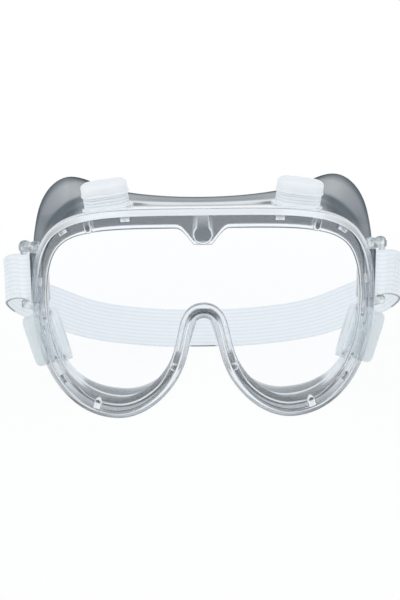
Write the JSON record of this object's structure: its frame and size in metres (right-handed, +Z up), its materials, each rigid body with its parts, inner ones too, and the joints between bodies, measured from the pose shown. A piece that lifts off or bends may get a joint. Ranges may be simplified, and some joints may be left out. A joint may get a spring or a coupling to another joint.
{
  "type": "protective goggles",
  "caption": "Clear soft-framed protective goggles with a wrapped one-piece lens, capped indirect vents and an elastic head strap on hinged buckles.",
  "frame": {"origin": "on the surface that the goggles stand on, under the middle of their box", "axes": "+X to the right seen from the front, +Y from the lens to the back of the strap, +Z up"},
  "size_m": [0.2038, 0.1166, 0.1103],
  "materials": {
    "clear_pvc": "soft clear PVC, smooth",
    "clear_lens": "clear polycarbonate, polished",
    "clear_buckles": "clear polycarbonate, moulded",
    "white_vents": "white polyethylene, slightly translucent",
    "white_elastic": "white ribbed elastic webbing"
  },
  "bodies": {
    "goggles": {"frame": "clear_pvc", "lens": "clear_lens", "vent_body_top_left": "white_vents", "vent_body_top_right": "white_vents", "vent_body_side_left": "white_vents", "vent_body_side_right": "white_vents", "vent_ring_top_left": "white_vents", "vent_ring_top_right": "white_vents", "vent_ring_side_left": "white_vents", "vent_ring_side_right": "white_vents", "strap": "white_elastic"},
    "buckle_left": {"buckle_left": "clear_buckles", "hinge_pin_left": "clear_buckles"},
    "buckle_right": {"buckle_right": "clear_buckles", "hinge_pin_right": "clear_buckles"},
    "cap_top_left": {"vent_cap_top_left": "white_vents"},
    "cap_top_right": {"vent_cap_top_right": "white_vents"},
    "cap_side_left": {"vent_cap_side_left": "white_vents"},
    "cap_side_right": {"vent_cap_side_right": "white_vents"}
  },
  "joints": [
    {"name": "buckle_hinge_left", "type": "hinge", "parent": "goggles", "child": "buckle_left", "pos_m": [-0.08, -0.02233, 0.061], "axis": [0, 0, -1], "range_deg": [-40, 30], "deforming": ["strap"]},
    {"name": "buckle_hinge_right", "type": "hinge", "parent": "goggles", "child": "buckle_right", "pos_m": [0.08, -0.02233, 0.061], "axis": [0, 0, 1], "range_deg": [-40, 30], "deforming": ["strap"]},
    {"name": "cap_pull_top_left", "type": "slide", "parent": "goggles", "child": "cap_top_left", "axis": [-0.1341, -0.0809, 0.9877], "range_m": [0, 0.01]},
    {"name": "cap_pull_top_right", "type": "slide", "parent": "goggles", "child": "cap_top_right", "axis": [0.1341, -0.0809, 0.9877], "range_m": [0, 0.01]},
    {"name": "cap_pull_side_left", "type": "slide", "parent": "goggles", "child": "cap_side_left", "axis": [-0.9534, -0.1431, -0.2657], "range_m": [0, 0.01]},
    {"name": "cap_pull_side_right", "type": "slide", "parent": "goggles", "child": "cap_side_right", "axis": [0.9534, -0.1431, -0.2657], "range_m": [0, 0.01]}
  ]
}
